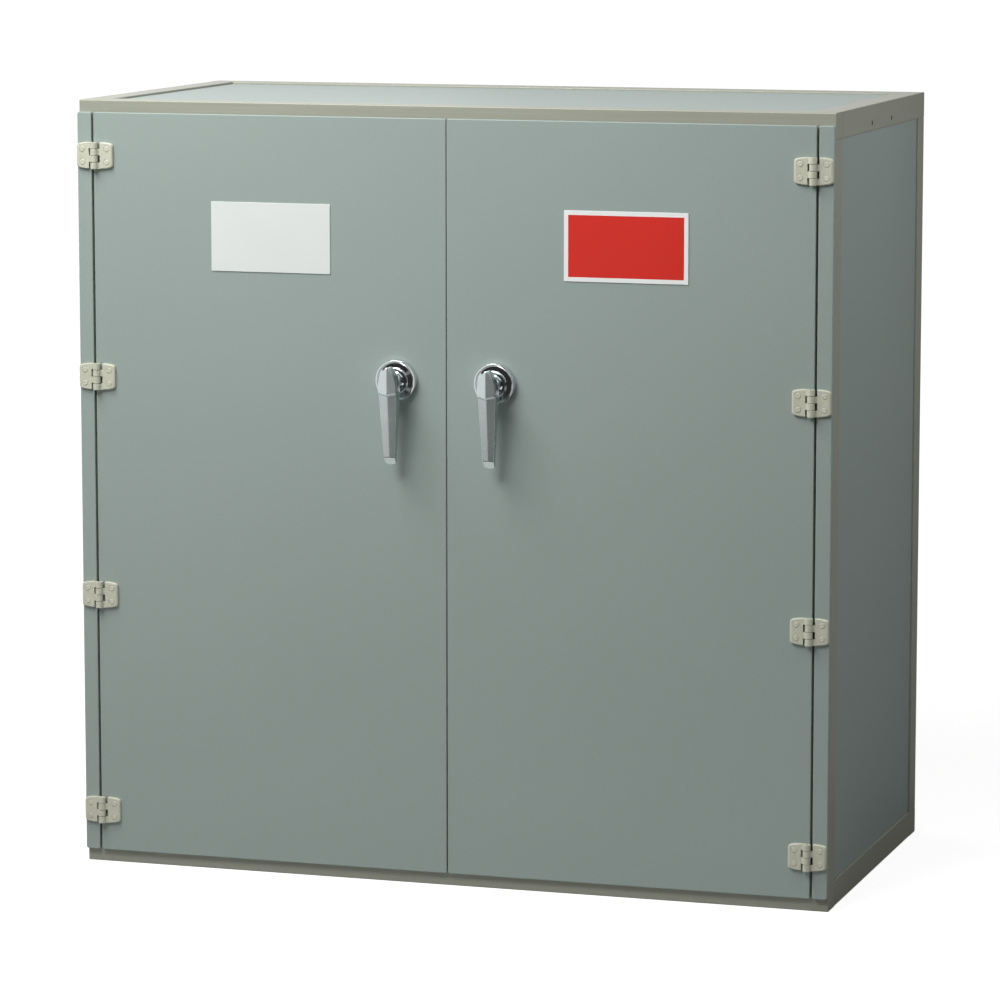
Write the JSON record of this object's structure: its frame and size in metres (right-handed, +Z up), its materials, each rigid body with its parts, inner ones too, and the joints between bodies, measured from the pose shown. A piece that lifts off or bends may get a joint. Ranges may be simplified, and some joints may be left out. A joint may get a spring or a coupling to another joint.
{
  "type": "lockable medicine cabinet",
  "caption": "Square box cabinet with paired overlay doors on surface hinges, L-handles with keyhole covers, shelves on each side and a centre partition.",
  "frame": {"origin": "centre of the whole object's footprint at floor level, handles included", "axes": "+X to the right of a person facing the doors, +Y into the cabinet, +Z up"},
  "size_m": [0.9, 0.4964, 0.9],
  "materials": {
    "trim": "satin warm grey-beige angle",
    "board": "satin grey-green board",
    "hinge_plastic": "moulded ivory plastic",
    "screw_enamel": "ivory enamel",
    "label_white": "plain white plate",
    "label_red": "plain red plate with a white border",
    "bumper_rubber": "black rubber",
    "handle_chrome": "polished chrome on die-cast zinc",
    "lock_brass": "turned brass",
    "plain_steel": "zinc-plated steel"
  },
  "bodies": {
    "cabinet": {"front_top_rail": "trim", "rear_top_rail": "trim", "left_top_rail": "trim", "right_top_rail": "trim", "front_bottom_rail": "trim", "rear_bottom_rail": "trim", "left_bottom_rail": "trim", "right_bottom_rail": "trim", "front_left_post": "trim", "front_right_post": "trim", "rear_left_post": "trim", "rear_right_post": "trim", "left_side_panel": "board", "right_side_panel": "board", "back_panel": "board", "top_panel": "board", "bottom_panel": "board", "left_hinge_stile": "board", "right_hinge_stile": "board", "centre_partition": "board", "centre_mullion": "trim", "left_lower_shelf": "board", "left_upper_shelf": "board", "right_lower_shelf": "board", "right_upper_shelf": "board", "shelf_rails": "trim", "door_bumpers": "bumper_rubber", "strike_plates": "plain_steel", "hinge_frame_leaves": "hinge_plastic", "hinge_pins": "plain_steel", "frame_leaf_screws": "screw_enamel"},
    "left_door": {"left_door_panel": "board", "left_label_plate": "label_white", "left_hinge_door_leaves": "hinge_plastic", "left_door_leaf_screws": "screw_enamel", "left_handle_base": "handle_chrome", "left_handle_nut": "plain_steel"},
    "left_handle": {"left_lever": "handle_chrome", "left_spindle": "plain_steel", "left_latch_cam": "plain_steel", "left_cam_nut": "plain_steel", "left_cover_pin": "plain_steel"},
    "left_plug": {"left_lock_plug": "lock_brass"},
    "left_bolt": {"left_lock_bolt": "plain_steel"},
    "left_cover": {"left_keyhole_cover": "handle_chrome"},
    "right_door": {"right_door_panel": "board", "right_label_plate": "label_red", "right_hinge_door_leaves": "hinge_plastic", "right_door_leaf_screws": "screw_enamel", "right_handle_base": "handle_chrome", "right_handle_nut": "plain_steel"},
    "right_handle": {"right_lever": "handle_chrome", "right_spindle": "plain_steel", "right_latch_cam": "plain_steel", "right_cam_nut": "plain_steel", "right_cover_pin": "plain_steel"},
    "right_plug": {"right_lock_plug": "lock_brass"},
    "right_bolt": {"right_lock_bolt": "plain_steel"},
    "right_cover": {"right_keyhole_cover": "handle_chrome"}
  },
  "joints": [
    {"name": "left_door_swing", "type": "hinge", "parent": "cabinet", "child": "left_door", "pos_m": [-0.4273, -0.21375, 0.45], "axis": [0, 0, -1], "range_deg": [0, 180]},
    {"name": "left_handle_turn", "type": "hinge", "parent": "left_door", "child": "left_handle", "pos_m": [-0.059, -0.20875, 0.587], "axis": [0, 1, 0], "range_deg": [0, 90]},
    {"name": "left_lock_turn", "type": "hinge", "parent": "left_handle", "child": "left_plug", "pos_m": [-0.059, -0.20875, 0.587], "axis": [0, 1, 0], "range_deg": [0, 90]},
    {"name": "left_bolt_slide", "type": "slide", "parent": "left_handle", "child": "left_bolt", "axis": [0, 0, 1], "range_m": [0, 0.003]},
    {"name": "left_cover_swing", "type": "hinge", "parent": "left_handle", "child": "left_cover", "pos_m": [-0.059, -0.20875, 0.5942], "axis": [0, 1, 0], "range_deg": [0, 90]},
    {"name": "right_door_swing", "type": "hinge", "parent": "cabinet", "child": "right_door", "pos_m": [0.4273, -0.21375, 0.45], "axis": [0, 0, 1], "range_deg": [0, 180]},
    {"name": "right_handle_turn", "type": "hinge", "parent": "right_door", "child": "right_handle", "pos_m": [0.059, -0.20875, 0.587], "axis": [0, -1, 0], "range_deg": [0, 90]},
    {"name": "right_lock_turn", "type": "hinge", "parent": "right_handle", "child": "right_plug", "pos_m": [0.059, -0.20875, 0.587], "axis": [0, -1, 0], "range_deg": [0, 90]},
    {"name": "right_bolt_slide", "type": "slide", "parent": "right_handle", "child": "right_bolt", "axis": [0, 0, 1], "range_m": [0, 0.003]},
    {"name": "right_cover_swing", "type": "hinge", "parent": "right_handle", "child": "right_cover", "pos_m": [0.059, -0.20875, 0.5942], "axis": [0, -1, 0], "range_deg": [0, 90]}
  ],
  "couplings": [
    {"joint": "left_lock_turn", "follows": "left_bolt_slide", "rad_per_m": 523.59},
    {"joint": "right_lock_turn", "follows": "right_bolt_slide", "rad_per_m": 523.59}
  ]
}
